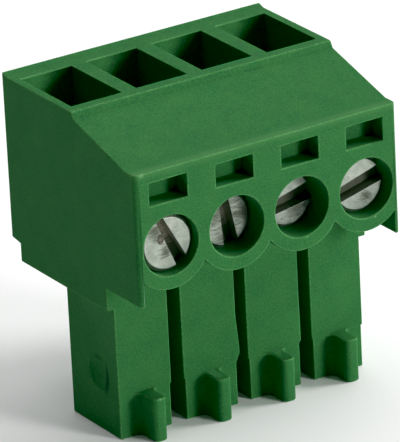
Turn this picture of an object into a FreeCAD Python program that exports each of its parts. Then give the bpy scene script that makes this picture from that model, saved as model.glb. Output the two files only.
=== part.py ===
import FreeCAD, Part

import math
import os
import re

import Sketcher
from FreeCAD import Vector

# A four pole plug for screwing bare wires to a pin header, standing on its four socket fingers.
# X runs along the row of poles, Y from the screw face to the back, Z from the finger tips up to
# the wire entries. All sizes are in millimetres and the origin is under the middle of the plug.

SIZES = [
    ("pole_count", 4, "number of poles"),
    ("pole_pitch", 3.5, "distance between two poles"),
    ("partition_wall", 0.81, "wall between two wire entries"),
    ("end_wall", 0.405, "side wall past the last wire entry"),
    ("back_wall", 1.03, "wall behind the wire entries"),
    ("finger_length", 6.43, "socket fingers below the shoulder"),
    ("finger_front", 2.92, "finger face behind the screw face"),
    ("finger_depth", 4.1, "finger from front to back"),
    ("finger_gap", 0.68, "slot between two fingers"),
    ("finger_relief", 0.07, "how much each side of a finger tip is thinner"),
    ("finger_step", 2.04, "height of the thinner finger tip"),
    ("floor_wall", 0.36, "floor between a finger slot and the clamp chamber"),
    ("spread_first", 0.1, "how much the second finger is wider on its right"),
    ("spread_second", 0.065, "how much the third finger is wider on its right"),
    ("flare_first", 0.24, "bulge on the second finger's side"),
    ("flare_second", 0.09, "bulge on the third finger's side"),
    ("flare_start", 4.4, "height where a finger's side starts to bulge"),
    ("flare_peak", 2.75, "height where the bulge is largest"),
    ("key_width", 0.7, "coding key across"),
    ("key_reach", 1.28, "coding key in front of its finger"),
    ("key_height", 2.1, "coding key from the finger tip up"),
    ("key_round", 0.24, "rounding of the key's nose"),
    ("key_root", 0.35, "hollow rounding where the key meets its finger"),
    ("shoulder_step", 0.71, "how far the back steps in above the shoulder"),
    ("shoulder_lip", 0.88, "height of the stepped back under the step"),
    ("shoulder_slope", 0.12, "fall of the step towards the front"),
    ("wing_rise", 1.11, "end wing's lower edge above the shoulder"),
    ("wing_wall", 0.245, "end wing thickness"),
    ("bore_rise", 3.73, "screw axis above the shoulder"),
    ("bore_radius", 1.445, "screw bore"),
    ("boss_wall", 0.655, "collar wall around a screw bore"),
    ("marker_land", 0.665, "face between a bore and its pocket"),
    ("marker_width", 2.0, "test pocket across"),
    ("marker_height", 1.09, "test pocket height"),
    ("marker_depth", 1.0, "test pocket depth"),
    ("front_land", 0.55, "face above the test pockets"),
    ("ledge_depth", 0.79, "flat ledge above the screw face"),
    ("slope_depth", 4.16, "long slope from front to back"),
    ("slope_rise", 1.17, "long slope from foot to brow"),
    ("brow_depth", 0.2, "steep brow from front to back"),
    ("brow_rise", 0.32, "steep brow height"),
    ("entry_setback", 0.6, "top face in front of the wire entries"),
    ("rim_width", 0.4, "raised rim along the back"),
    ("rim_rise", 0.13, "raised rim above the top face"),
    ("dimple_radius", 0.85, "dished dimple in the first finger's side"),
    ("dimple_depth", 0.22, "depth of that dimple"),
    ("dimple_height", 2.79, "middle of the dimple above the tips"),
    ("dimple_offset", 0.42, "dimple ahead of the finger's middle"),
    ("edge_round", 0.25, "rounding of the upright front edges"),
    ("socket_front", 0.53, "finger wall in front of the socket"),
    ("socket_back", 0.47, "finger wall behind the socket"),
    ("socket_floor", 0.6, "finger tip wall under the socket"),
    ("pin_entry", 1.4, "square pin hole in a finger tip"),
    ("pin_funnel", 0.3, "bevel around the pin hole"),
    ("clamp_height", 2.9, "clamp along the wire"),
    ("clamp_room", 0.15, "room above and below a clamp"),
    ("clamp_clearance", 0.075, "room beside a clamp"),
    ("clamp_nut", 1.4, "threaded clamp wall"),
    ("window_room", 0.09, "clamp window beside the screw shank"),
    ("clamp_floor", 0.42, "clamp wall behind the wire"),
    ("clamp_back_room", 0.55, "room behind an open clamp"),
    ("clamp_travel", 1.6, "clamp travel from open to closed"),
    ("clamp_round", 0.25, "bend of the clamp's corners"),
    ("clamp_stop", 0.1, "room in front of a closed clamp"),
    ("wire_space", 1.75, "room for the wire in an open clamp"),
    ("groove_depth", 0.1, "grip groove depth in the clamp wall"),
    ("groove_pitch", 0.6, "distance between two grip grooves"),
    ("bar_setback", 1.15, "current bar behind the entry's front edge"),
    ("bar_gap", 0.1, "gap from the open clamp to the current bar"),
    ("bar_top", 1.6, "current bar above the screw axis"),
    ("bar_room", 0.14, "room beside the current bar in the clamp's window"),
    ("strip_thickness", 0.45, "current bar sheet"),
    ("contact_clearance", 0.1, "room around a contact in its socket"),
    ("cheek_thickness", 0.22, "sheet of the contact's folded sides"),
    ("cheek_low", 3.8, "height where the spring arms begin"),
    ("cheek_high", 6.9, "top of the folded sides"),
    ("arm_width", 1.2, "spring arm across"),
    ("arm_waist", 0.35, "half the gap where the arms grip a pin"),
    ("arm_waist_height", 1.95, "height where the arms grip"),
    ("contact_foot", 0.25, "contact above the socket floor"),
    ("jog_height", 7.1, "height where the contact steps back"),
    ("head_clearance", 0.085, "screw head in its bore"),
    ("head_height", 1.3, "screw head"),
    ("head_bevel", 0.16, "turned bevel on the head"),
    ("slot_width", 0.65, "screwdriver slot"),
    ("slot_depth", 0.65, "depth of the slot"),
    ("shank_radius", 0.9, "screw shank"),
    ("shank_length", 4.35, "screw shank with its tip"),
    ("tip_bevel", 0.3, "bevel at the screw's tip"),
    ("thread_clearance", 0.05, "screw in the clamp's threaded wall"),
    ("tip_gap", 0.05, "seated screw tip to the current bar"),
    ("lift_first", 0.85, "how far screw 1 stands off its seat"),
    ("lift_second", 0.2, "how far screw 2 stands off its seat"),
    ("lift_third", 0.0, "how far screw 3 stands off its seat"),
    ("lift_fourth", 0.55, "how far screw 4 stands off its seat"),
    ("slot_turn_first", -66, "slot of screw 1 from level, in degrees"),
    ("slot_turn_second", -79, "slot of screw 2 from level, in degrees"),
    ("slot_turn_third", 12, "slot of screw 3 from level, in degrees"),
    ("slot_turn_fourth", 15, "slot of screw 4 from level, in degrees"),
    ("slot_shift_first", 0.12, "slot of screw 1 off the screw's axis"),
    ("slot_shift_second", 0.15, "slot of screw 2 off the screw's axis"),
    ("slot_shift_third", -0.08, "slot of screw 3 off the screw's axis"),
    ("slot_shift_fourth", 0.0, "slot of screw 4 off the screw's axis"),
]
SCREW_STATES = [
    ("lift_first", "slot_turn_first", "slot_shift_first"),
    ("lift_second", "slot_turn_second", "slot_shift_second"),
    ("lift_third", "slot_turn_third", "slot_shift_third"),
    ("lift_fourth", "slot_turn_fourth", "slot_shift_fourth"),
]
NAMES = {name for name, size, meaning in SIZES}

# Places worked out from the sizes, along X
CHAMBER_WIDTH = "(pole_pitch - partition_wall)"
FIRST_POLE = "(-(pole_count - 1) * pole_pitch / 2)"
BODY_WIDTH = "((pole_count - 1) * pole_pitch + pole_pitch - partition_wall + 2 * end_wall)"
FINGER_HALF = "((pole_pitch - finger_gap) / 2)"
TIP_HALF = "((pole_pitch - finger_gap) / 2 - finger_relief)"
CLAMP_HALF = f"({CHAMBER_WIDTH} / 2 - clamp_clearance)"
WINDOW_HALF = "(shank_radius + window_room)"
CONTACT_HALF = f"({WINDOW_HALF} - bar_room)"
SOCKET_HALF = f"({CONTACT_HALF} + contact_clearance)"

# Places along Y
FINGER_BACK = "(finger_front + finger_depth)"
FINGER_MIDDLE = "(finger_front + finger_depth / 2)"
ENTRY_FRONT = "(ledge_depth + slope_depth + brow_depth + entry_setback)"
BAR_FRONT = f"({ENTRY_FRONT} + bar_setback)"
BAR_BACK = f"({BAR_FRONT} + strip_thickness)"
NUT_BACK = f"({BAR_FRONT} - bar_gap)"
NUT_FRONT = f"({NUT_BACK} - clamp_nut)"
WIRE_BACK = f"({BAR_BACK} + wire_space)"
CLAMP_BACK = f"({WIRE_BACK} + clamp_floor)"
CHAMBER_FRONT = f"({NUT_FRONT} - clamp_travel - clamp_stop)"
ENTRY_BACK = f"({CLAMP_BACK} + clamp_back_room)"
BACK = f"({ENTRY_BACK} + back_wall)"
SHOULDER_BACK = f"({BACK} - shoulder_step)"
MIDDLE = f"({BACK} / 2)"
SOCKET_NEAR = "(finger_front + socket_front)"
SOCKET_FAR = f"({FINGER_BACK} - socket_back)"
STRIP_BACK = f"({SOCKET_FAR} - contact_clearance)"
STRIP_FRONT = f"({STRIP_BACK} - strip_thickness)"

# Heights along Z
BORE_HEIGHT = "(finger_length + bore_rise)"
WING_LOW = "(finger_length + wing_rise)"
CHAMBER_LOW = f"({BORE_HEIGHT} - clamp_height / 2 - clamp_room)"
CHAMBER_HIGH = f"({BORE_HEIGHT} + clamp_height / 2 + clamp_room)"
GAP_TOP = f"({CHAMBER_LOW} - floor_wall)"
MARKER_LOW = f"({BORE_HEIGHT} + bore_radius + marker_land)"
FRONT_TOP = f"({MARKER_LOW} + marker_height + front_land)"
TOP = f"({FRONT_TOP} + slope_rise + brow_rise)"
CONTACT_LOW = "(socket_floor + contact_foot)"
# A strip bent through 45 degrees twice keeps its thickness when its inner bends sit this much lower
JOG_SHIFT = f"(strip_thickness * {math.tan(math.radians(22.5)):.4f})"
JOG_RISE = f"({BAR_FRONT} - {STRIP_FRONT})"

document = FreeCAD.newDocument("TerminalPlug")
sheet = document.addObject("Spreadsheet::Sheet", "Sizes")
for row, (name, size, meaning) in enumerate(SIZES, start=1):
    sheet.set(f"A{row}", meaning)
    sheet.set(f"B{row}", str(size))
    sheet.setAlias(f"B{row}", name)
document.recompute()


def formula(text):
    """A formula on the sheet's cells, from one written with the bare names of the sizes."""
    return re.sub(r"[a-z_]+", lambda word: "Sizes." + word[0] if word[0] in NAMES else word[0], text)


def value(text):
    """What a formula comes to now."""
    return float(sheet.evalExpression(formula(text)))


def bind(target, path, text):
    target.setExpression(path, formula(text))


def new_body(label):
    body = document.addObject("PartDesign::Body", label.title().replace("_", ""))
    body.Label = label
    return body


def origin_feature(body, role):
    return next(feature for feature in body.Origin.OriginFeatures if feature.Role == role)


def sketch_on(body, role, name, along_normal=None):
    """A sketch on one of the body's own planes, moved along the plane's normal."""
    sketch = body.newObject("Sketcher::SketchObject", name)
    sketch.AttachmentSupport = [(origin_feature(body, role), "")]
    sketch.MapMode = "FlatFace"
    if along_normal:
        bind(sketch, "AttachmentOffset.Base.z", along_normal)
    return sketch


def hold(sketch, piece, end, across, up):
    """Ties one point of a sketch to its place, measured from the sketch's origin."""
    for kind, text in (("DistanceX", across), ("DistanceY", up)):
        rule = sketch.addConstraint(Sketcher.Constraint(kind, -1, 1, piece, end, value(text)))
        bind(sketch, f"Constraints[{rule}]", text)


def outline(sketch, corners):
    """A closed outline through the corners, each a pair of formulas."""
    places = [Vector(value(across), value(up), 0) for across, up in corners]
    first = sketch.GeometryCount
    count = len(corners)
    for number, place in enumerate(places):
        sketch.addGeometry(Part.LineSegment(place, places[(number + 1) % count]), False)
    for number, (across, up) in enumerate(corners):
        following = first + (number + 1) % count
        sketch.addConstraint(Sketcher.Constraint("Coincident", first + number, 2, following, 1))
        hold(sketch, first + number, 1, across, up)


def rectangle(sketch, left, low, right, high):
    outline(sketch, [(left, low), (right, low), (right, high), (left, high)])


def circle(sketch, across, up, radius):
    ring = Part.Circle(Vector(value(across), value(up), 0), Vector(0, 0, 1), value(radius))
    piece = sketch.addGeometry(ring, False)
    hold(sketch, piece, 3, across, up)
    rule = sketch.addConstraint(Sketcher.Constraint("Radius", piece, value(radius)))
    bind(sketch, f"Constraints[{rule}]", radius)


def extrude(body, kind, name, sketch, length, both_ways=False, reverse=False):
    """A Pad or a Pocket of the sketch by a length, which is checked to add or to cut."""
    before = body.Shape.Volume if body.Tip else 0
    feature = body.newObject("PartDesign::" + kind, name)
    feature.Profile = sketch
    bind(feature, "Length", length)
    feature.SideType = "Symmetric" if both_ways else "One side"
    feature.Reversed = reverse
    sketch.Visibility = False
    document.recompute()
    change = feature.Shape.Volume - before
    if (change > 0) != (kind == "Pad"):
        raise RuntimeError(f"{name} of {body.Label} changes the volume by {change:.4f}")
    return feature


def repeat_along_x(body, name, features, count="pole_count", spacing="pole_pitch"):
    """The same features again at each following pole."""
    pattern = body.newObject("PartDesign::LinearPattern", name)
    pattern.Originals = features
    pattern.Direction = (origin_feature(body, "X_Axis"), [""])
    pattern.Mode = "Spacing"
    bind(pattern, "Offset", spacing)
    bind(pattern, "Occurrences", count)
    body.Tip = pattern
    document.recompute()
    return pattern


def edges_where(shape, test):
    """Names of the straight edges whose two ends pass the test."""
    chosen = []
    for number, edge in enumerate(shape.Edges, start=1):
        ends = [vertex.Point for vertex in edge.Vertexes]
        if len(ends) == 2 and isinstance(edge.Curve, (Part.Line, Part.LineSegment)) and test(*ends):
            chosen.append(f"Edge{number}")
    return chosen


def round_edges(body, name, radius, test):
    """Rounds the straight edges of the body so far that pass the test."""
    base = body.Tip
    chosen = edges_where(base.Shape, test)
    feature = body.newObject("PartDesign::Fillet", name)
    feature.Base = (base, chosen)
    bind(feature, "Radius", radius)
    document.recompute()
    return feature


def near(first, second):
    return abs(first - second) < 0.001


def pad_upper_block(body):
    """The wide upper part, drawn from the side, with the end wings as its front lower corners."""
    side = sketch_on(body, "YZ_Plane", "SideProfile")
    lip_top = "(finger_length + shoulder_lip)"
    brow_front = "(ledge_depth + slope_depth)"
    outline(side, [
        ("0", WING_LOW),
        ("0", FRONT_TOP),
        ("ledge_depth", FRONT_TOP),
        (brow_front, f"({FRONT_TOP} + slope_rise)"),
        (f"({brow_front} + brow_depth)", TOP),
        (f"({BACK} - rim_width)", TOP),
        (BACK, f"({TOP} + rim_rise)"),
        (BACK, f"({lip_top} + shoulder_slope)"),
        (SHOULDER_BACK, lip_top),
        (SHOULDER_BACK, "finger_length"),
        ("finger_front", "finger_length"),
        ("finger_front", WING_LOW),
    ])
    extrude(body, "Pad", "UpperBlock", side, BODY_WIDTH, both_ways=True)


def shape_screw_face(body):
    """Opens the space under the screw face and stands the round screw collars in it."""
    relief = sketch_on(body, "XZ_Plane", "ReliefOutline")
    inside = f"({BODY_WIDTH} / 2 - wing_wall)"
    rectangle(relief, f"(-{inside})", "finger_length", inside, BORE_HEIGHT)
    extrude(body, "Pocket", "FrontRelief", relief, "finger_front")

    collar = sketch_on(body, "XZ_Plane", "CollarCircle")
    circle(collar, FIRST_POLE, BORE_HEIGHT, "(bore_radius + boss_wall)")
    first = extrude(body, "Pad", "Collar", collar, "finger_front", reverse=True)
    repeat_along_x(body, "Collars", [first])

    trim = sketch_on(body, "XZ_Plane", "CollarTrimOutline")
    past = f"({BODY_WIDTH} / 2 + 2 * boss_wall)"
    high = f"({BORE_HEIGHT} + bore_radius + 2 * boss_wall)"
    low = f"({BORE_HEIGHT} - bore_radius - 2 * boss_wall)"
    rectangle(trim, f"(-{past})", low, f"(-{BODY_WIDTH} / 2)", high)
    rectangle(trim, f"({BODY_WIDTH} / 2)", low, past, high)
    extrude(body, "Pocket", "CollarTrim", trim, "finger_front")


def add_fingers(body):
    """Four socket fingers with thinner tips, parted by slots that run up into the block."""
    shaft = sketch_on(body, "XY_Plane", "FingerOutline", "finger_step")
    rectangle(shaft, f"({FIRST_POLE} - {FINGER_HALF})", "finger_front",
              f"({FIRST_POLE} + {FINGER_HALF})", FINGER_BACK)
    upper = extrude(body, "Pad", "FingerShaft", shaft, f"({GAP_TOP} - finger_step)")
    tip = sketch_on(body, "XY_Plane", "FingerTipOutline")
    rectangle(tip, f"({FIRST_POLE} - {TIP_HALF})", "finger_front",
              f"({FIRST_POLE} + {TIP_HALF})", FINGER_BACK)
    lower = extrude(body, "Pad", "FingerTip", tip, "finger_step")
    repeat_along_x(body, "Fingers", [upper, lower])

    slot = sketch_on(body, "XY_Plane", "FingerSlotOutline", GAP_TOP)
    middle = f"({FIRST_POLE} + pole_pitch / 2)"
    rectangle(slot, f"({middle} - finger_gap / 2)", "finger_front",
              f"({middle} + finger_gap / 2)", FINGER_BACK)
    cut = extrude(body, "Pocket", "FingerSlot", slot, GAP_TOP)
    repeat_along_x(body, "FingerSlots", [cut], count="pole_count - 1")


def add_flares(body):
    """The wider right side of the second and third fingers, with its slight bulge."""
    for pole, spread, reach in ((1, "spread_first", "flare_first"), (2, "spread_second", "flare_second")):
        side = f"({FIRST_POLE} + {pole} * pole_pitch + {FINGER_HALF})"
        bulge = sketch_on(body, "XZ_Plane", f"FlareOutline{pole}", "(-finger_front)")
        outline(bulge, [
            (f"({side} + {spread})", GAP_TOP),
            (f"({side} - 2 * finger_relief)", GAP_TOP),
            (f"({side} - 2 * finger_relief)", "0"),
            (f"({side} - finger_relief + {spread})", "0"),
            (f"({side} - finger_relief + {spread})", "finger_step"),
            (f"({side} + {reach})", f"(finger_step + {reach} * 2)"),
            (f"({side} + {reach})", "flare_peak"),
            (f"({side} + {spread})", "flare_start"),
        ])
        extrude(body, "Pad", f"Flare{pole}", bulge, "finger_depth", reverse=True)


def add_keys(body):
    """One round nosed coding key down the front of each finger tip."""
    plan = sketch_on(body, "XY_Plane", "KeyOutline")
    front = "(finger_front - key_reach)"
    rectangle(plan, f"({FIRST_POLE} - key_width / 2)", front,
              f"({FIRST_POLE} + key_width / 2)", "(finger_front + socket_front / 2)")
    key = extrude(body, "Pad", "Key", plan, "key_height")
    repeat_along_x(body, "Keys", [key])
    nose = value(front)
    face = value("finger_front")
    half = value("key_width") / 2
    poles = [value(f"({FIRST_POLE} + {pole} * pole_pitch)") for pole in range(int(value("pole_count")))]
    sides = [pole + side * half for pole in poles for side in (-1, 1)]

    def upright_at(depth):
        def test(start, end):
            upright = near(start.x, end.x) and near(start.y, depth) and near(end.y, depth)
            return upright and any(near(start.x, side) for side in sides)
        return test

    round_edges(body, "KeyNoses", "key_round", upright_at(nose))
    round_edges(body, "KeyRoots", "key_root", upright_at(face))


def cut_pole_cavities(body):
    """Screw bore, test pocket, wire entry, clamp chamber, socket and pin hole of each pole."""
    bore = sketch_on(body, "XZ_Plane", "BoreCircle")
    circle(bore, FIRST_POLE, BORE_HEIGHT, "bore_radius")
    screw_bore = extrude(body, "Pocket", "ScrewBore", bore, f"({CHAMBER_FRONT} + clamp_stop)")

    marker = sketch_on(body, "XZ_Plane", "TestPocketOutline")
    rectangle(marker, f"({FIRST_POLE} - marker_width / 2)", MARKER_LOW,
              f"({FIRST_POLE} + marker_width / 2)", f"({MARKER_LOW} + marker_height)")
    test_pocket = extrude(body, "Pocket", "TestPocket", marker, "marker_depth")

    left = f"({FIRST_POLE} - {CHAMBER_WIDTH} / 2)"
    right = f"({FIRST_POLE} + {CHAMBER_WIDTH} / 2)"
    entry = sketch_on(body, "XY_Plane", "WireEntryOutline", f"({TOP} + rim_rise)")
    rectangle(entry, left, ENTRY_FRONT, right, ENTRY_BACK)
    wire_entry = extrude(body, "Pocket", "WireEntry", entry, f"({TOP} + rim_rise - {CHAMBER_LOW})")

    chamber = sketch_on(body, "XZ_Plane", "ClampChamberOutline", f"(-{CHAMBER_FRONT})")
    rectangle(chamber, left, CHAMBER_LOW, right, CHAMBER_HIGH)
    clamp_chamber = extrude(body, "Pocket", "ClampChamber", chamber, f"({ENTRY_BACK} - {CHAMBER_FRONT})")

    socket = sketch_on(body, "YZ_Plane", "SocketProfile", FIRST_POLE)
    bend = f"(jog_height - {JOG_SHIFT} - 2 * contact_clearance)"
    outline(socket, [
        (SOCKET_NEAR, "socket_floor"),
        (SOCKET_FAR, "socket_floor"),
        (SOCKET_FAR, bend),
        (f"({BAR_BACK} + contact_clearance)", f"({bend} + {JOG_RISE})"),
        (f"({BAR_BACK} + contact_clearance)", f"({CHAMBER_LOW} + clamp_room)"),
        (SOCKET_NEAR, f"({CHAMBER_LOW} + clamp_room)"),
    ])
    pin_socket = extrude(body, "Pocket", "PinSocket", socket, f"(2 * {SOCKET_HALF})", both_ways=True)

    hole = sketch_on(body, "XY_Plane", "PinHoleOutline")
    rectangle(hole, f"({FIRST_POLE} - pin_entry / 2)", f"({FINGER_MIDDLE} - pin_entry / 2)",
              f"({FIRST_POLE} + pin_entry / 2)", f"({FINGER_MIDDLE} + pin_entry / 2)")
    pin_hole = extrude(body, "Pocket", "PinHole", hole, "(socket_floor + contact_foot)", reverse=True)
    repeat_along_x(body, "PoleCavities",
                   [screw_bore, test_pocket, wire_entry, clamp_chamber, pin_socket, pin_hole])


def bevel_pin_holes(body):
    """Lead-in bevels around the pin holes in the finger tips."""
    middle = value(FINGER_MIDDLE)
    half = value("pin_entry") / 2
    poles = [value(f"({FIRST_POLE} + {pole} * pole_pitch)") for pole in range(int(value("pole_count")))]

    def around_hole(start, end):
        if not (near(start.z, 0) and near(end.z, 0)):
            return False
        across = any(abs(start.x - pole) < half + 0.001 and abs(end.x - pole) < half + 0.001
                     for pole in poles)
        along = abs(start.y - middle) < half + 0.001 and abs(end.y - middle) < half + 0.001
        return across and along

    base = body.Tip
    feature = body.newObject("PartDesign::Chamfer", "PinFunnels")
    feature.Base = (base, edges_where(base.Shape, around_hole))
    bind(feature, "Size", "pin_funnel")
    document.recompute()


def cut_dimple(body):
    """The shallow dish in the outer side of the first finger, part of a ball."""
    ball = "((dimple_radius ^ 2 + dimple_depth ^ 2) / (2 * dimple_depth))"
    dish = body.newObject("PartDesign::SubtractiveSphere", "Dimple")
    dish.AttachmentSupport = [(origin_feature(body, "XY_Plane"), "")]
    dish.MapMode = "FlatFace"
    bind(dish, "Radius", ball)
    bind(dish, "AttachmentOffset.Base.x", f"({FIRST_POLE} - {FINGER_HALF} + dimple_depth - {ball})")
    bind(dish, "AttachmentOffset.Base.y", f"({FINGER_MIDDLE} - dimple_offset)")
    bind(dish, "AttachmentOffset.Base.z", "dimple_height")
    document.recompute()


def build_housing():
    """The moulded one piece housing."""
    body = new_body("housing")
    pad_upper_block(body)
    shape_screw_face(body)
    half = value(BODY_WIDTH) / 2

    def front_upright(start, end):
        at_front = near(start.y, 0) and near(end.y, 0) and not near(start.z, end.z)
        return at_front and near(abs(start.x), half) and near(abs(end.x), half)

    round_edges(body, "FrontEdges", "edge_round", front_upright)
    add_fingers(body)
    add_flares(body)
    add_keys(body)
    cut_pole_cavities(body)
    bevel_pin_holes(body)
    cut_dimple(body)
    return body


def build_screw(label, lift, turn, shift):
    """A slotted clamping screw, its head towards the screw face, turned as it stands."""
    body = new_body(label)
    half = sketch_on(body, "XY_Plane", "TurnedProfile")
    head_radius = "(bore_radius - head_clearance)"
    length = "(head_height + shank_length)"
    outline(half, [
        ("0", "0"),
        (f"({head_radius} - head_bevel)", "0"),
        (head_radius, "head_bevel"),
        (head_radius, "head_height"),
        ("shank_radius", "head_height"),
        ("shank_radius", f"({length} - tip_bevel)"),
        ("(shank_radius - tip_bevel)", length),
        ("0", length),
    ])
    turned = body.newObject("PartDesign::Revolution", "Turned")
    turned.Profile = half
    turned.ReferenceAxis = (half, ["V_Axis"])
    turned.Angle = 360
    document.recompute()
    slot = sketch_on(body, "XZ_Plane", "SlotOutline")
    rectangle(slot, f"(-{head_radius})", f"({shift} - slot_width / 2)",
              head_radius, f"({shift} + slot_width / 2)")
    extrude(body, "Pocket", "Slot", slot, "slot_depth")
    body.Placement = FreeCAD.Placement(Vector(0, 0, 0), FreeCAD.Rotation(Vector(0, -1, 0), value(turn)))
    bind(body, "Placement.Rotation.Angle", turn)
    bind(body, "Placement.Base.y", f"({BAR_FRONT} - tip_gap - {length} - {lift} - {MIDDLE})")
    bind(body, "Placement.Base.z", BORE_HEIGHT)
    return body


def build_clamp(label):
    """A bent metal cage that the screw pulls towards its head, with the wire inside."""
    body = new_body(label)
    low = f"({BORE_HEIGHT} - clamp_height / 2)"
    cage = sketch_on(body, "XY_Plane", "CageOutline", low)
    rectangle(cage, f"(-{CLAMP_HALF})", NUT_FRONT, CLAMP_HALF, CLAMP_BACK)
    extrude(body, "Pad", "Cage", cage, "clamp_height")
    corner = value(CLAMP_HALF)

    def upright_corner(start, end):
        return near(abs(start.x), corner) and near(start.x, end.x) and near(start.y, end.y)

    round_edges(body, "BentCorners", "clamp_round", upright_corner)
    window = sketch_on(body, "XY_Plane", "WindowOutline", f"({low} + clamp_height)")
    rectangle(window, f"(-{WINDOW_HALF})", NUT_BACK, WINDOW_HALF, WIRE_BACK)
    extrude(body, "Pocket", "WireWindow", window, "clamp_height")
    thread = sketch_on(body, "XZ_Plane", "ThreadCircle", f"(-{NUT_FRONT})")
    circle(thread, "0", BORE_HEIGHT, "(shank_radius + thread_clearance)")
    extrude(body, "Pocket", "ThreadedHole", thread, "(clamp_nut + bar_gap)")
    for step in (-1, 0, 1):
        groove = sketch_on(body, "YZ_Plane", f"GrooveOutline{step + 2}")
        level = f"({BORE_HEIGHT} + {step} * groove_pitch)"
        outline(groove, [
            (f"({WIRE_BACK} - groove_depth)", f"({level} - groove_depth * 2)"),
            (f"({WIRE_BACK} - groove_depth)", f"({level} + groove_depth * 2)"),
            (f"({WIRE_BACK} + groove_depth)", level),
        ])
        extrude(body, "Pocket", f"GripGroove{step + 2}", groove, f"(2 * {WINDOW_HALF})", both_ways=True)
    return body


def build_contact(label):
    """A stamped contact: current bar above, folded cheeks and two spring arms below."""
    body = new_body(label)
    half = CONTACT_HALF
    strip = sketch_on(body, "YZ_Plane", "StripProfile")
    bar_end = f"({BORE_HEIGHT} + bar_top)"
    outline(strip, [
        (STRIP_FRONT, CONTACT_LOW),
        (STRIP_FRONT, "jog_height"),
        (BAR_FRONT, f"(jog_height + {JOG_RISE})"),
        (BAR_FRONT, bar_end),
        (BAR_BACK, bar_end),
        (BAR_BACK, f"(jog_height + {JOG_RISE} - {JOG_SHIFT})"),
        (STRIP_BACK, f"(jog_height - {JOG_SHIFT})"),
        (STRIP_BACK, CONTACT_LOW),
    ])
    extrude(body, "Pad", "Strip", strip, f"(2 * {half})", both_ways=True)
    cheeks = sketch_on(body, "XY_Plane", "CheekOutline", "cheek_low")
    near_end = f"({SOCKET_NEAR} + contact_clearance)"
    rectangle(cheeks, f"(-{half})", near_end, f"(-{half} + cheek_thickness)", STRIP_BACK)
    rectangle(cheeks, f"({half} - cheek_thickness)", near_end, half, STRIP_BACK)
    extrude(body, "Pad", "Cheeks", cheeks, "(cheek_high - cheek_low)")
    for side, name in ((-1, "Left"), (1, "Right")):
        arm = sketch_on(body, "XZ_Plane", name + "ArmOutline", f"(-({FINGER_MIDDLE} - arm_width / 2))")
        flare = f"({half} + arm_waist) / 2"
        outline(arm, [
            (f"({side} * {half})", "(cheek_low + cheek_thickness)"),
            (f"({side} * {half})", "cheek_low"),
            (f"({side} * (arm_waist + cheek_thickness))", "arm_waist_height"),
            (f"({side} * ({flare} + cheek_thickness / 2))", CONTACT_LOW),
            (f"({side} * ({flare} - cheek_thickness / 2))", CONTACT_LOW),
            (f"({side} * arm_waist)", "arm_waist_height"),
            (f"({side} * ({half} - cheek_thickness))", "cheek_low"),
            (f"({side} * ({half} - cheek_thickness))", "(cheek_low + cheek_thickness)"),
        ])
        extrude(body, "Pad", name + "Arm", arm, "arm_width", reverse=True)
    return body


def check_document():
    """Stops if any object failed or any piece is not one good solid."""
    for item in document.Objects:
        if "Invalid" in item.State or "Error" in item.State:
            raise RuntimeError(f"{item.Label} failed: {item.State}")
    for item in pieces:
        shape = item.Shape
        if shape.isNull() or not shape.isValid() or len(shape.Solids) != 1:
            raise RuntimeError(f"{item.Label} is not one valid solid")


# Pieces are drawn with the screw face at Y 0, and moved so that the origin is midway to the back
pieces = [build_housing()]
bind(pieces[0], "Placement.Base.y", f"(-{MIDDLE})")
for pole in range(int(value("pole_count"))):
    lift, turn, shift = SCREW_STATES[pole % len(SCREW_STATES)]
    screw = build_screw(f"screw_{pole + 1}", lift, turn, shift)
    clamp = build_clamp(f"clamp_{pole + 1}")
    contact = build_contact(f"contact_{pole + 1}")
    bind(clamp, "Placement.Base.y", f"(-{MIDDLE})")
    bind(contact, "Placement.Base.y", f"(-{MIDDLE})")
    for piece in (screw, clamp, contact):
        bind(piece, "Placement.Base.x", f"({FIRST_POLE} + {pole} * pole_pitch)")
        pieces.append(piece)
document.recompute()
check_document()

os.makedirs("parts", exist_ok=True)
for piece in pieces:
    piece.Shape.exportStep(os.path.join("parts", piece.Label + ".step"))
    print(piece.Label, round(piece.Shape.Volume, 4), piece.Shape.BoundBox)
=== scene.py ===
import math

import bmesh
import bpy
from mathutils import Matrix, Vector


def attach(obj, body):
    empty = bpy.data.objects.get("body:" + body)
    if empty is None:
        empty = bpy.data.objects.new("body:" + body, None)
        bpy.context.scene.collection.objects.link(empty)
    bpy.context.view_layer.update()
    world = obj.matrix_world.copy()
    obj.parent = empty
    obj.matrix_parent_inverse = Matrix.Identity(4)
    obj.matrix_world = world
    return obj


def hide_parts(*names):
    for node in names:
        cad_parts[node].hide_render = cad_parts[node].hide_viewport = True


# A four pole pluggable terminal plug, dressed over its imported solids: a green moulded housing,
# and in each pole a slotted screw, the cage clamp that it pulls up, and a stamped contact.
# Lengths are in metres, X along the poles, Y from the screw face to the back, Z up.
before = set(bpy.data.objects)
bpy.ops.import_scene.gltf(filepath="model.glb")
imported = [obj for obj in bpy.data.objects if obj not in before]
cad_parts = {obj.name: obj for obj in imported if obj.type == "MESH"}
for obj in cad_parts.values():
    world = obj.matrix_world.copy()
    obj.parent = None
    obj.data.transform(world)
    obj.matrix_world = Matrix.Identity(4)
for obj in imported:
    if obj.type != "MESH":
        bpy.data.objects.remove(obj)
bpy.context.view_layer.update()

# Studio. A pale floor, a soft key light low on the right, which throws the shadows of the bore
# rims and coding keys to the left, a second light high on the right and a broad one overhead.
# The view's black level keeps the shadows deep and clear, as they are in the photo.
FLOOR_HALF = 3.0
FLOOR_TONE = (0.93, 0.93, 0.93, 1)
FLOOR_ROUGHNESS = 0.9
FLOOR_SHINE = 0.1
LIGHTS = [  # name, place, aim, size, power in watts
    ("key", (0.27, -0.51, 0.15), (0, 0, 0.008), 0.18, 2.75),
    ("right", (0.44, -0.15, 0.38), (0, 0, 0.008), 0.2, 1.9),
    ("overhead", (0.10, 0.20, 0.47), (0, 0, 0.01), 0.85, 2.65),
]
SURROUND_STRENGTH = 0.10
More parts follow.
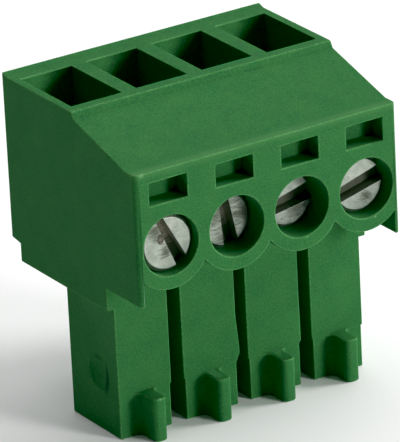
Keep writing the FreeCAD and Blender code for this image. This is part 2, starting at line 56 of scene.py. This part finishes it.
BLACK_LEVEL = (0.012, 0.005, 0.009)
CAMERA_PLACE = (-0.13054, -0.21050, 0.11098)
CAMERA_TURN = (67.4302, 2.6668, -32.8612)
CAMERA_LENS = 478.36
CAMERA_SENSOR = 36
CAMERA_NEAREST = 0.01


def add_object(name, data):
    """A new object in the scene."""
    thing = bpy.data.objects.new(name, data)
    bpy.context.scene.collection.objects.link(thing)
    return thing


def soft_light(name, place, aim, size, power):
    """A round light that shines from its place towards its aim."""
    lamp = bpy.data.lights.new(name, "AREA")
    lamp.shape = "DISK"
    lamp.size = size
    lamp.energy = power
    holder = add_object(name, lamp)
    holder.location = place
    holder.rotation_euler = (Vector(aim) - Vector(place)).to_track_quat("-Z", "Y").to_euler()


floor_mesh = bpy.data.meshes.new("floor")
floor_mesh.from_pydata([(-FLOOR_HALF, -FLOOR_HALF, 0), (FLOOR_HALF, -FLOOR_HALF, 0),
                        (FLOOR_HALF, FLOOR_HALF, 0), (-FLOOR_HALF, FLOOR_HALF, 0)], [], [(0, 1, 2, 3)])
floor = add_object("floor", floor_mesh)
floor_paint = bpy.data.materials.new("pale floor")
floor_paint.use_nodes = True
floor_shader = floor_paint.node_tree.nodes["Principled BSDF"]
floor_shader.inputs["Base Color"].default_value = FLOOR_TONE
floor_shader.inputs["Roughness"].default_value = FLOOR_ROUGHNESS
floor_shader.inputs["Specular IOR Level"].default_value = FLOOR_SHINE
floor_mesh.materials.append(floor_paint)

for light in LIGHTS:
    soft_light(*light)
surround = bpy.data.worlds.new("surround")
surround.use_nodes = True
surround.node_tree.nodes["Background"].inputs["Color"].default_value = (1, 1, 1, 1)
surround.node_tree.nodes["Background"].inputs["Strength"].default_value = SURROUND_STRENGTH
bpy.context.scene.world = surround
view = bpy.context.scene.view_settings
view.view_transform = "Standard"
view.use_curve_mapping = True
view.curve_mapping.black_level = BLACK_LEVEL
view.curve_mapping.update()

camera_data = bpy.data.cameras.new("camera")
camera_data.lens = CAMERA_LENS
camera_data.sensor_width = CAMERA_SENSOR
camera_data.clip_start = CAMERA_NEAREST
camera = add_object("camera", camera_data)
camera.location = CAMERA_PLACE
camera.rotation_euler = [math.radians(turn) for turn in CAMERA_TURN]
bpy.context.scene.camera = camera

# Housing. One piece of green polyamide from a steel mould: the block with its screw collars, test
# pockets and wire entries, and four socket fingers with coding keys. The mould leaves every outer
# edge slightly round and the skin satin. The rounded edges, a few corners and bore rims are painted
# paler, as painted highlights where they catch the light, partly rubbed wear. Patches of painted shade
# lie in the end finger's dimple, and a band of painted light along the slope's foot.
HOUSING_ROUND = 0.00006
MERGE_REACH = 2e-7  # points this near to each other are one
FLAT_ANGLE = math.radians(0.4)  # faces that turn less than this are one flat face
EDGE_ANGLE = math.radians(30)  # edges that turn more than this are real edges
CHEEK_LOW = (-0.00666, -0.00263, 0.0)  # the block that makes the end finger's tip flush
CHEEK_HIGH = (-0.0065, 0.00147, 0.0021)
DIMPLE_BALL = 0.001765
DIMPLE_MIDDLE = (-0.008192, -0.001, 0.00279)
GREEN_DEEP = (0.0240, 0.110, 0.0410, 1)
GREEN_FULL = (0.0490, 0.165, 0.0490, 1)
# The rounded edges' tones, paler: painted highlight where the rounds catch the light, partly rubbed wear.
GREEN_WORN_AND_HIGHLIT_DEEP = (0.0330, 0.132, 0.0410, 1)
GREEN_WORN_AND_HIGHLIT = (0.0950, 0.2300, 0.0880, 1)
# Painted shade for the dimple and painted light for the slope's foot.
GREEN_PAINTED_SHADE = (0.0060, 0.036, 0.0140, 1)
GREEN_PAINTED_LIGHT = (0.1200, 0.260, 0.1000, 1)
CLOUD_SCALE = 900.0
GRAIN_SCALE = 11000.0
CLOUD_SHARE = 0.22  # of the mottle, the rest is the fine grain
GRAIN_HEIGHT = 0.00002
SCATTER_DEPTH = 0.0003
# Pale spots of painted highlight where corners and bore rims catch the light, partly wear.
HIGHLIGHT_SPOT_TONE = (0.17, 0.30, 0.14, 1)
HIGHLIGHT_SPOTS = [  # middle and radius of the small pale spots on corners and bore rims: painted highlights, partly wear
    ((-0.00526, -0.00390, 0.00212), 0.00010),
    ((0.00194, -0.00394, 0.00212), 0.00008),
    ((0.00566, -0.00555, 0.00866), 0.00006),
    ((0.00195, -0.00555, 0.00866), 0.00005),
    ((-0.00660, -0.00550, 0.01383), 0.00011),
]
# Patches of painted shade in the dimple and of painted light along the slope's foot.
SHADE_AND_LIGHT_PATCHES = [  # middle, stretch of the distance on each axis, strength and tone
    ((-0.00655, -0.00156, 0.00268), (3000.0, 2900.0, 1100.0), 0.85, GREEN_PAINTED_SHADE),  # painted shade in the dimple
    # painted shade at the top of the dimple
    ((-0.00655, -0.00100, 0.00352), (3000.0, 2200.0, 4500.0), 0.5, GREEN_PAINTED_SHADE),
    ((0.0, -0.00540, 0.01398), (0.0, 2600.0, 2600.0), 0.22, GREEN_PAINTED_LIGHT),  # painted light along the slope's foot
]


def rounded_copy(node, name, radius, steps, reshape=None):
    """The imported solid's own form, its flat faces made whole and its outer edges rounded."""
    form = bmesh.new()
    form.from_mesh(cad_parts[node].data)
    bmesh.ops.remove_doubles(form, verts=form.verts, dist=MERGE_REACH)
    if reshape:
        reshape(form)
        bmesh.ops.remove_doubles(form, verts=form.verts, dist=MERGE_REACH)
    bmesh.ops.dissolve_limit(form, angle_limit=FLAT_ANGLE, verts=form.verts, edges=form.edges)
    weight = form.edges.layers.float.new("bevel_weight_edge")
    for face in form.faces:
        face.smooth = True
    for edge in form.edges:
        if edge.calc_face_angle(0) > EDGE_ANGLE:
            edge[weight] = float(edge.is_convex)
            edge.smooth = edge.is_convex
    mesh = bpy.data.meshes.new(name)
    form.to_mesh(mesh)
    form.free()
    mesh.materials.clear()
    piece = add_object(name, mesh)
    rounding = piece.modifiers.new("rounded edges", "BEVEL")
    rounding.width = radius
    rounding.segments = steps
    rounding.limit_method = "WEIGHT"
    rounding.use_clamp_overlap = False
    flat = piece.modifiers.new("flat faces", "WEIGHTED_NORMAL")
    flat.weight = 100
    flat.keep_sharp = True
    return piece


def put_in_order(mesh):
    """Sorts a mesh's points, edges and faces by place, since a Boolean orders them anew each run."""
    form = bmesh.new()
    form.from_mesh(mesh)
    for number, point in enumerate(sorted(form.verts, key=lambda point: tuple(point.co))):
        point.index = number
    form.verts.sort()
    for parts in (form.edges, form.faces):
        by_points = sorted(parts, key=lambda part: sorted(point.index for point in part.verts))
        for number, part in enumerate(by_points):
            part.index = number
        parts.sort()
    form.to_mesh(mesh)
    form.free()


def end_finger_whole(form):
    """The end finger's outer side in one plane down to its tip, with a whole round dimple."""
    middle = [(low + high) / 2 for low, high in zip(CHEEK_LOW, CHEEK_HIGH)]
    spans = [high - low for low, high in zip(CHEEK_LOW, CHEEK_HIGH)]
    cheek = bmesh.new()
    bmesh.ops.create_cube(cheek, size=1, matrix=Matrix.LocRotScale(middle, None, spans))
    ball = bmesh.new()
    bmesh.ops.create_uvsphere(ball, u_segments=96, v_segments=48, radius=DIMPLE_BALL,
                              matrix=Matrix.Translation(DIMPLE_MIDDLE))
    whole = add_object("whole", bpy.data.meshes.new("whole"))
    form.to_mesh(whole.data)
    helpers = [whole]
    for operation, tool in (("UNION", cheek), ("DIFFERENCE", ball)):
        shape = add_object(operation, bpy.data.meshes.new(operation))
        tool.to_mesh(shape.data)
        tool.free()
        cut = whole.modifiers.new(operation, "BOOLEAN")
        cut.operation = operation
        cut.object = shape
        helpers.append(shape)
    made = bpy.data.meshes.new_from_object(whole.evaluated_get(bpy.context.evaluated_depsgraph_get()))
    put_in_order(made)
    form.clear()
    form.from_mesh(made)
    for helper in helpers:
        bpy.data.objects.remove(helper)


def give(tree, node, terms):
    """Feeds a node's sockets, each with an output or a plain value."""
    for socket, term in terms.items():
        if isinstance(term, bpy.types.NodeSocket):
            tree.links.new(term, node.inputs[socket])
        else:
            node.inputs[socket].default_value = term


def add_node(tree, kind, terms=None, **settings):
    """A node with its settings and what its sockets are fed."""
    node = tree.nodes.new(kind)
    for name, setting in settings.items():
        setattr(node, name, setting)
    give(tree, node, terms or {})
    return node


def calc(tree, first, sign, second):
    """The result of two numbers, each an output or a plain value."""
    operations = {"+": "ADD", "-": "SUBTRACT", "*": "MULTIPLY", ">": "GREATER_THAN", "<": "LESS_THAN",
                  "max": "MAXIMUM"}
    return add_node(tree, "ShaderNodeMath", {0: first, 1: second}, operation=operations[sign]).outputs[0]


def ranged(tree, value, low, high, first=0.0, last=1.0):
    """The value's way from low to high, as a way from first to last."""
    return add_node(tree, "ShaderNodeMapRange", {"Value": value, "From Min": low, "From Max": high,
                                                 "To Min": first, "To Max": last}).outputs[0]


def mixed(tree, share, first, second):
    """The colour that is this share of the way from the first to the second."""
    return add_node(tree, "ShaderNodeMix", {0: share, 6: first, 7: second}, data_type="RGBA").outputs[2]


def noise(tree, place, scale, detail, roughness=0.5):
    """Noise of about 0.5, with this many waves to the metre."""
    return add_node(tree, "ShaderNodeTexNoise", {"Vector": place, "Scale": scale, "Detail": detail,
                                                 "Roughness": roughness}).outputs["Fac"]


def distance_from(tree, place, middle, stretch=(1.0, 1.0, 1.0)):
    """The place's distance from a middle, with each axis stretched."""
    offset = add_node(tree, "ShaderNodeVectorMath", {0: place, 1: middle}, operation="SUBTRACT")
    scaled = add_node(tree, "ShaderNodeVectorMath", {0: offset.outputs[0], 1: stretch}, operation="MULTIPLY")
    return add_node(tree, "ShaderNodeVectorMath", {0: scaled.outputs[0]}, operation="LENGTH").outputs["Value"]


def ragged_spot(tree, away, reach, wave, sway, fade, strength):
    """How strong a spot is at a distance: it fades between two shares of its reach, swayed by a wave."""
    swayed = calc(tree, away, "+", calc(tree, wave, "*", reach * sway))
    return ranged(tree, swayed, reach * fade[0], reach * fade[1], strength, 0.0)


def new_paint(name):
    """A new material, its tree, its shader and the piece's own coordinates."""
    paint = bpy.data.materials.new(name)
    paint.use_nodes = True
    tree = paint.node_tree
    return paint, tree, tree.nodes["Principled BSDF"], add_node(tree, "ShaderNodeTexCoord").outputs["Object"]


def green_polyamide(name, deep, full):
    """Satin moulded polyamide between two tones, with its cloudy skin and fine grain, patches of painted
    shade and painted light, and pale spots of painted highlight with some wear.
    """
    paint, tree, shader, place = new_paint(name)
    cloudy = noise(tree, place, CLOUD_SCALE, 3.0)
    grain = noise(tree, place, GRAIN_SCALE, 3.0, 0.6)
    mottle = calc(tree, calc(tree, cloudy, "*", CLOUD_SHARE), "+", calc(tree, grain, "*", 1 - CLOUD_SHARE))
    green = mixed(tree, ranged(tree, mottle, 0.35, 0.65), deep, full)
    # Painted shade and painted light patches.
    for middle, stretch, strength, tone in SHADE_AND_LIGHT_PATCHES:
        away = distance_from(tree, place, middle, stretch)
        green = mixed(tree, ranged(tree, away, 0.5, 1.1, strength, 0.0), green, tone)
    # Pale spots of painted highlight, with some wear.
    sheen_and_wear = 0.0
    for middle, reach in HIGHLIGHT_SPOTS:
        away = distance_from(tree, place, middle)
        sheen_and_wear = calc(tree, sheen_and_wear, "max", ragged_spot(tree, away, reach, grain, 3.0, (1.6, 2.8), 1.0))
    bump = add_node(tree, "ShaderNodeBump", {"Height": grain, "Strength": 0.8, "Distance": GRAIN_HEIGHT})
    give(tree, shader, {
        "Base Color": mixed(tree, sheen_and_wear, green, HIGHLIGHT_SPOT_TONE),
        "Roughness": ranged(tree, grain, 0.0, 1.0, 0.52, 0.68),
        "Normal": bump.outputs[0],
        "Specular IOR Level": 0.04,
        "Specular Tint": (0.5, 1.0, 0.62, 1),
        "Subsurface Weight": 0.5,
        "Subsurface Radius": (0.2, 1.0, 0.5),
        "Subsurface Scale": SCATTER_DEPTH,
    })
    return paint


housing = rounded_copy("housing", "moulded_housing", HOUSING_ROUND, 3, end_finger_whole)
housing.data.materials.append(green_polyamide("green polyamide", GREEN_DEEP, GREEN_FULL))
# The rounded edges get the paler tones: painted highlight where they catch the light, partly rubbed wear.
housing.data.materials.append(green_polyamide("green polyamide, rubbed and highlit edge", GREEN_WORN_AND_HIGHLIT_DEEP, GREEN_WORN_AND_HIGHLIT))
housing.modifiers["rounded edges"].material = 1
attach(housing, "housing_body")
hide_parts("housing")

# Screws. Four slotted clamping screws turned from zinc plated steel, with a rolled thread. Each
# stands at its own height in its bore, with its slot as it was last turned. The driver has opened
# the slots at one end and smeared the heads, and the first head has a pit.
THREAD_PITCH = 0.0004
THREAD_ROOT = 0.00076
THREAD_CREST = 0.00089
THREAD_SUNK = 0.00001  # how far the ridge's foot is sunk into the rod
THREAD_FIRST = 0.0015  # the thread starts no nearer to the face than this
THREAD_FOOT = THREAD_PITCH * 0.32  # half the ridge's width at its foot and at its crest
THREAD_TOP = THREAD_PITCH * 0.06
THREAD_STEPS = 48  # to the turn
TURNED_STEPS = 96
NECK_STEP = 1e-6  # the head's back is a step, not a second point at one depth
HEAD_MARGIN = 0.00005  # what lies this far behind the head's back is not the head
SAW_LENGTH = 2.4  # in head radii
SCREW_WORN = 0.00003
SCREW_SIZES = {"Head radius": 0.00136, "Head height": 0.0013, "Head bevel": 0.00016, "Length": 0.00565,
               "Tip radius": 0.0006, "Slot depth": 0.00065, "Thread turns": 9.0}
SCREW_OWN = ("Place", "Slot turn", "Slot shift", "Slot skew", "Slot start", "Slot end")
SCREWS = {
    "screw_1": ((-0.00525, -0.0052, 0.01016), -65.0, 0.00018, 0.00004, 0.00034, 0.00066),
    "screw_2": ((-0.00175, -0.00455, 0.01016), -79.0, 0.00017, -0.00017, 0.00042, 0.00080),
    "screw_3": ((0.00175, -0.00435, 0.01016), 12.0, -0.00008, 0.0, 0.00056, 0.00092),
    "screw_4": ((0.00525, -0.0049, 0.01016), 15.0, 0.0, 0.0, 0.00068, 0.00084),
}
ZINC_DULL = (0.24, 0.275, 0.235, 1)
ZINC_BRIGHT = (0.36, 0.40, 0.345, 1)
ZINC_MARKED = (0.09, 0.085, 0.06, 1)
# Slots and the heads' sides are darkened by depth behind the face, partly crust and partly painted shade,
# darkest deepest.
GRIME_AND_SHADE_BEGINS = (0.00004, 0.0004)  # depths behind the face
GRIME_AND_SHADE_ENDS = (0.0012, 0.0014)
CRUST_AND_SHADE_DEPTHS = (0.0003, 0.00064)
CRUST_AND_SHADE_SHALLOW = (0.145, 0.135, 0.088, 1)
CRUST_AND_SHADE_DEEP = (0.060, 0.062, 0.040, 1)
PIT_MIDDLE = (-0.00559, -0.00520, 0.01042)
PIT_STRETCH = (1.5, 1.0, 1.0)
PIT_EDGE = (0.00023, 0.00027)
PIT_CORE = (0.00007, 0.00014)
PIT_RIM = (0.040, 0.032, 0.022, 1)
PIT_HEART = (0.13, 0.115, 0.085, 1)
SMEAR_DARK = (0.060, 0.065, 0.045, 1)
SMEAR_PALE = (0.420, 0.390, 0.310, 1)
SMEARS = [  # middle, radius and tone; the pale ones lie in the upper halves of the first two slots, the dark ones on the heads
    ((-0.00547, -0.00440, 0.01106), 0.00065, SMEAR_PALE),
    ((-0.00522, -0.00440, 0.01051), 0.00060, SMEAR_PALE),
    ((-0.00175, -0.00375, 0.01107), 0.00065, SMEAR_PALE),
    ((-0.00164, -0.00375, 0.01048), 0.00060, SMEAR_PALE),
    ((-0.00580, -0.0052, 0.01080), 0.00045, SMEAR_DARK),
    ((-0.00530, -0.0052, 0.00978), 0.00032, SMEAR_DARK),
    ((-0.00222, -0.00455, 0.01085), 0.00090, SMEAR_DARK),
    ((-0.00170, -0.00455, 0.00935), 0.00055, SMEAR_DARK),
    ((-0.00085, -0.00455, 0.01030), 0.00050, SMEAR_DARK),
    ((0.00225, -0.00435, 0.00975), 0.00055, SMEAR_DARK),
    ((0.00560, -0.00490, 0.00950), 0.00030, SMEAR_DARK),
]


def named_tree(name, kinds):
    """A geometry tree with named inputs of each kind, and those inputs."""
    tree = bpy.data.node_groups.new(name, "GeometryNodeTree")
    tree.interface.new_socket(name="Geometry", in_out="OUTPUT", socket_type="NodeSocketGeometry")
    for kind, labels in kinds.items():
        for label in labels:
            tree.interface.new_socket(name=label, in_out="INPUT", socket_type="NodeSocket" + kind)
    return tree, tree.nodes.new("NodeGroupInput").outputs


def by_index(tree, terms):
    """The term whose number is the point's own number."""
    switch = add_node(tree, "GeometryNodeIndexSwitch", data_type="FLOAT")
    while len(switch.index_switch_items) < len(terms):
        switch.index_switch_items.new()
    give(tree, switch, {0: add_node(tree, "GeometryNodeInputIndex").outputs[0]})
    give(tree, switch, dict(enumerate(terms, start=1)))
    return switch.outputs[0]


def turned_on_y(tree, stations):
    """A closed turned form along Y through stations of depth and radius."""
    line = add_node(tree, "GeometryNodeCurvePrimitiveLine", {"Start": (0, 0, 0), "End": (0, 1, 0)})
    points = add_node(tree, "GeometryNodeResampleCurve", {"Curve": line.outputs[0], "Count": len(stations)})
    depths, radii = zip(*stations)
    spot = add_node(tree, "ShaderNodeCombineXYZ", {"Y": by_index(tree, depths)})
    placed = add_node(tree, "GeometryNodeSetPosition",
                      {"Geometry": points.outputs[0], "Position": spot.outputs[0]})
    ring = add_node(tree, "GeometryNodeCurvePrimitiveCircle", {"Resolution": TURNED_STEPS, "Radius": 1.0})
    return add_node(tree, "GeometryNodeCurveToMesh",
                    {"Curve": placed.outputs[0], "Profile Curve": ring.outputs[0],
                     "Scale": by_index(tree, radii), "Fill Caps": True}).outputs[0]


def thread_on_y(tree, turns, base, crest):
    """A closed right-hand ridge that winds along Y from the origin, from base to crest radius."""
    spiral = add_node(tree, "GeometryNodeCurveSpiral",
                      {"Resolution": THREAD_STEPS, "Rotations": turns, "Start Radius": base,
                       "End Radius": base, "Height": calc(tree, turns, "*", THREAD_PITCH),
                       "Reverse": True})
    level = add_node(tree, "GeometryNodeSetCurveNormal", {"Curve": spiral.outputs[0]}, mode="Z_UP")
    ridge = add_node(tree, "GeometryNodeCurvePrimitiveQuadrilateral",
                     {"Point 1": (0, -THREAD_FOOT, 0), "Point 2": (crest - base, -THREAD_TOP, 0),
                      "Point 3": (crest - base, THREAD_TOP, 0), "Point 4": (0, THREAD_FOOT, 0)},
                     mode="POINTS")
    sweep = add_node(tree, "GeometryNodeCurveToMesh",
                     {"Curve": level.outputs[0], "Profile Curve": ridge.outputs[0], "Fill Caps": True})
    return add_node(tree, "GeometryNodeTransform",
                    {"Geometry": sweep.outputs[0], "Rotation": (math.radians(-90), 0, 0)}).outputs[0]


def slot_saw(tree, size):
    """The tapered block that saws a screw's slot, wider or aside at its far end."""
    block = add_node(tree, "GeometryNodeMeshCube", {"Size": (1, 1, 1)})
    position = add_node(tree, "GeometryNodeInputPosition").outputs[0]
    corner = add_node(tree, "ShaderNodeSeparateXYZ", {0: position}).outputs
    end_share = calc(tree, corner["X"], "+", 0.5)
    along = calc(tree, calc(tree, size["Head radius"], "*", SAW_LENGTH), "*", corner["X"])
    deep = calc(tree, calc(tree, size["Slot depth"], "*", 2.0), "*", corner["Y"])
    widening = calc(tree, calc(tree, size["Slot end"], "-", size["Slot start"]), "*", end_share)
    width = calc(tree, size["Slot start"], "+", widening)
    shift = calc(tree, size["Slot shift"], "+", calc(tree, size["Slot skew"], "*", end_share))
    across = calc(tree, calc(tree, width, "*", corner["Z"]), "+", shift)
    place = add_node(tree, "ShaderNodeCombineXYZ", {"X": along, "Y": deep, "Z": across})
    saw = add_node(tree, "GeometryNodeSetPosition",
                   {"Geometry": block.outputs["Mesh"], "Position": place.outputs[0]})
    turn = add_node(tree, "ShaderNodeCombineXYZ", {"Y": calc(tree, size["Slot turn"], "*", -math.pi / 180)})
    return add_node(tree, "GeometryNodeTransform",
                    {"Geometry": saw.outputs[0], "Rotation": turn.outputs[0]}).outputs[0]


def finish_tree(tree, geometry, paint):
    """Ends a tree with real geometry in one material."""
    real = add_node(tree, "GeometryNodeRealizeInstances", {"Geometry": geometry})
    painted = add_node(tree, "GeometryNodeSetMaterial", {"Geometry": real.outputs[0], "Material": paint})
    add_node(tree, "NodeGroupOutput", {0: painted.outputs[0]})


def screw_tree(paint):
    """The tree that turns, saws and threads one screw, its face at its place."""
    tree, size = named_tree("slotted screw", {
        "Vector": ["Place"],
        "Float": ["Head radius", "Head height", "Head bevel", "Length", "Tip radius", "Slot depth",
                  "Slot turn", "Slot shift", "Slot skew", "Slot start", "Slot end", "Thread start",
                  "Thread turns"]})
    rim = calc(tree, size["Head radius"], "-", size["Head bevel"])
    neck = calc(tree, size["Head height"], "+", NECK_STEP)
    tip = calc(tree, THREAD_ROOT, "-", size["Tip radius"])
    shoulder = calc(tree, size["Length"], "-", tip)
    body = turned_on_y(tree, [(0.0, rim), (size["Head bevel"], size["Head radius"]),
                              (size["Head height"], size["Head radius"]), (neck, THREAD_ROOT),
                              (shoulder, THREAD_ROOT), (size["Length"], size["Tip radius"])])
    slotted = add_node(tree, "GeometryNodeMeshBoolean", {"Mesh 1": body, "Mesh 2": slot_saw(tree, size)},
                       operation="DIFFERENCE", solver="EXACT")

    ridge = thread_on_y(tree, size["Thread turns"], THREAD_ROOT - THREAD_SUNK, THREAD_CREST)
    start = add_node(tree, "ShaderNodeCombineXYZ", {"Y": size["Thread start"]})
    thread = add_node(tree, "GeometryNodeTransform", {"Geometry": ridge, "Translation": start.outputs[0]})
    whole = add_node(tree, "GeometryNodeJoinGeometry", {0: thread.outputs[0]})
    give(tree, whole, {0: slotted.outputs["Mesh"]})

    position = add_node(tree, "GeometryNodeInputPosition").outputs[0]
    depth = add_node(tree, "ShaderNodeSeparateXYZ", {0: position}).outputs["Y"]
    kept = add_node(tree, "GeometryNodeStoreNamedAttribute",
                    {"Geometry": whole.outputs[0], "Name": "depth", "Value": depth},
                    data_type="FLOAT", domain="POINT")
    angle = add_node(tree, "GeometryNodeInputMeshEdgeAngle").outputs["Unsigned Angle"]
    sharp = calc(tree, angle, ">", EDGE_ANGLE)
    on_head = calc(tree, depth, "<", calc(tree, size["Head height"], "+", HEAD_MARGIN))
    creased = calc(tree, sharp, "*", calc(tree, 1.0, "-", on_head))
    kept = add_node(tree, "GeometryNodeStoreNamedAttribute",
                    {"Geometry": kept.outputs[0], "Name": "bevel_weight_edge",
                     "Value": calc(tree, sharp, "*", on_head)}, data_type="FLOAT", domain="EDGE")
    smooth = add_node(tree, "GeometryNodeSetShadeSmooth", {"Geometry": kept.outputs[0], "Shade Smooth": True},
                      domain="FACE")
    smooth = add_node(tree, "GeometryNodeSetShadeSmooth",
                      {"Geometry": smooth.outputs[0], "Selection": creased, "Shade Smooth": False},
                      domain="EDGE")
    placed = add_node(tree, "GeometryNodeTransform",
                      {"Geometry": smooth.outputs[0], "Translation": size["Place"]})
    finish_tree(tree, placed.outputs[0], paint)
    return tree


def shape_by(piece, tree, values):
    """Gives a piece the plain mesh that a tree makes of it and of these named inputs."""
    nodes = piece.modifiers.new("form", "NODES")
    nodes.node_group = tree
    for socket in tree.interface.items_tree:
        if socket.in_out == "INPUT" and socket.name in values:
            nodes[socket.identifier] = values[socket.name]
    seen = piece.evaluated_get(bpy.context.evaluated_depsgraph_get())
    mesh = bpy.data.meshes.new_from_object(seen)
    mesh.materials.pop(index=0)  # the empty slot of the mesh that went into the tree
    piece.modifiers.clear()
    piece.data = mesh


def zinc_plated_steel():
    """Dulled zinc with strokes and dots, slots and head sides darkened by depth as crust and painted shade, a
    pit and ragged smears over it.
    """
    paint, tree, shader, place = new_paint("zinc plated steel")
    grey = noise(tree, place, 2600.0, 5.0, 0.65)
    stretched = add_node(tree, "ShaderNodeMapping",
                         {"Vector": place, "Rotation": (0, 0.5, 0), "Scale": (1.0, 1.0, 9.0)})
    strokes = noise(tree, stretched.outputs[0], 3200.0, 3.0)
    specks = noise(tree, place, 5200.0, 2.0)
    marked = calc(tree, calc(tree, ranged(tree, strokes, 0.56, 0.72), "*", 0.35), "max",
                  calc(tree, ranged(tree, specks, 0.66, 0.74), "*", 0.7))
    metal = mixed(tree, ranged(tree, grey, 0.36, 0.64), ZINC_DULL, ZINC_BRIGHT)
    metal = mixed(tree, marked, metal, ZINC_MARKED)

    # Darker by depth: partly crust, partly painted shade in the slots and on the heads' sides.
    depth = add_node(tree, "ShaderNodeAttribute", attribute_name="depth").outputs["Fac"]
    in_slot = calc(tree, ranged(tree, depth, *GRIME_AND_SHADE_BEGINS), "*", ranged(tree, depth, *GRIME_AND_SHADE_ENDS, 1.0, 0.0))
    grime_and_shade = calc(tree, in_slot, "*", ranged(tree, grey, 0.3, 0.6, 0.9, 1.0))
    crust_and_shade = mixed(tree, ranged(tree, depth, *CRUST_AND_SHADE_DEPTHS), CRUST_AND_SHADE_SHALLOW, CRUST_AND_SHADE_DEEP)
    metal = mixed(tree, grime_and_shade, metal, crust_and_shade)

    from_pit = distance_from(tree, place, PIT_MIDDLE, PIT_STRETCH)
    pit = ranged(tree, from_pit, *PIT_EDGE, 1.0, 0.0)
    heart = ranged(tree, from_pit, *PIT_CORE, 1.0, 0.0)
    metal = mixed(tree, pit, metal, mixed(tree, heart, PIT_RIM, PIT_HEART))

    for middle, reach, tone in SMEARS:
        away = distance_from(tree, place, middle)
        metal = mixed(tree, ragged_spot(tree, away, reach, strokes, 3.2, (1.9, 3.0), 0.85), metal, tone)

    fouled_and_shaded = calc(tree, grime_and_shade, "max", pit)
    rough = add_node(tree, "ShaderNodeMix", {0: fouled_and_shaded, 2: ranged(tree, grey, 0.3, 0.7, 0.38, 0.56), 3: 0.7},
                     data_type="FLOAT")
    height = calc(tree, calc(tree, grey, "+", calc(tree, marked, "*", -0.8)), "+", calc(tree, pit, "*", -2.0))
    bump = add_node(tree, "ShaderNodeBump", {"Height": height, "Strength": 0.5, "Distance": 0.00002})
    give(tree, shader, {"Base Color": metal, "Roughness": rough.outputs[0], "Normal": bump.outputs[0],
                        "Metallic": ranged(tree, fouled_and_shaded, 0.0, 1.0, 1.0, 0.15)})
    return paint


screw_form = screw_tree(zinc_plated_steel())
for node, own in SCREWS.items():
    sizes = {**SCREW_SIZES, **dict(zip(SCREW_OWN, own))}
    face = sizes["Place"][1]
    sizes["Thread start"] = THREAD_FIRST + (-face - THREAD_FIRST) % THREAD_PITCH  # one phase for all
    screw = add_object("slotted_" + node, bpy.data.meshes.new("slotted_" + node))
    shape_by(screw, screw_form, sizes)
    worn_edges = screw.modifiers.new("worn edges", "BEVEL")
    worn_edges.width = SCREW_WORN
    worn_edges.segments = 2
    worn_edges.limit_method = "WEIGHT"
    worn_edges.harden_normals = True
    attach(screw, node + "_body")
    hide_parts(node)

# Clamps. Each is a cage bent from nickel plated brass, with three grip grooves behind the wire and
# a thread in its front wall. Its thread sits half a turn off the screw's, so that the two mesh.
CLAMP_ROUND = 0.00004
CLAMP_FIRST_X = -0.00525
CLAMP_STEP = 0.0035
CLAMP_BORE_Z = 0.01016
CLAMP_THREAD_START = 0.0002
CLAMP_THREAD_TURNS = 2.25
CLAMP_THREAD_BASE = 0.00097
CLAMP_THREAD_CREST = 0.0008
NICKEL_DULL = (0.50, 0.46, 0.38, 1)
NICKEL_BRIGHT = (0.62, 0.58, 0.50, 1)


def plated(name, dull, bright, rough_low, rough_high):
    """A stamped, plated metal with cloudy tone and fine rolling marks."""
    paint, tree, shader, place = new_paint(name)
    cloud = noise(tree, place, 1500.0, 4.0)
    rolled = add_node(tree, "ShaderNodeMapping", {"Vector": place, "Scale": (1.0, 1.0, 0.08)})
    lines = noise(tree, rolled.outputs[0], 14000.0, 2.0)
    bump = add_node(tree, "ShaderNodeBump", {"Height": lines, "Strength": 0.3, "Distance": 0.00001})
    give(tree, shader, {"Base Color": mixed(tree, ranged(tree, cloud, 0.35, 0.65), dull, bright),
                        "Roughness": ranged(tree, lines, 0.0, 1.0, rough_low, rough_high),
                        "Normal": bump.outputs[0], "Metallic": 1.0})
    return paint


def clamp_tree(paint):
    """The tree that adds the inner thread to a clamp's cage."""
    tree, size = named_tree("threaded clamp", {"Geometry": ["Cage"], "Vector": ["Place"],
                                               "Float": ["Thread turns"]})
    thread = thread_on_y(tree, size["Thread turns"], CLAMP_THREAD_BASE, CLAMP_THREAD_CREST)
    placed = add_node(tree, "GeometryNodeTransform", {"Geometry": thread, "Translation": size["Place"]})
    turned = add_node(tree, "GeometryNodeFlipFaces", {"Mesh": placed.outputs[0]})
    whole = add_node(tree, "GeometryNodeJoinGeometry", {0: turned.outputs[0]})
    give(tree, whole, {0: size["Cage"]})
    finish_tree(tree, whole.outputs[0], paint)
    return tree


clamp_form = clamp_tree(plated("nickel plated brass", NICKEL_DULL, NICKEL_BRIGHT, 0.28, 0.45))
for number in range(1, 5):
    node = f"clamp_{number}"
    cage = rounded_copy(node, "bent_" + node, CLAMP_ROUND, 2)
    middle = (CLAMP_FIRST_X + (number - 1) * CLAMP_STEP, CLAMP_THREAD_START, CLAMP_BORE_Z)
    shape_by(cage, clamp_form, {"Place": middle, "Thread turns": CLAMP_THREAD_TURNS})
    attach(cage, node + "_body")
    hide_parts(node)

# Contacts. Each is stamped from tinned copper strip: a current bar that the screw presses the wire
# against, a step back into the socket, folded sides and two spring arms that grip the header's pin.
CONTACT_ROUND = 0.00003
TIN_DULL = (0.52, 0.50, 0.47, 1)
TIN_BRIGHT = (0.66, 0.65, 0.62, 1)
tin = plated("tinned copper", TIN_DULL, TIN_BRIGHT, 0.4, 0.58)
for number in range(1, 5):
    node = f"contact_{number}"
    strip = rounded_copy(node, "stamped_" + node, CONTACT_ROUND, 2)
    strip.data.materials.append(tin)
    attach(strip, "housing_body")
    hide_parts(node)
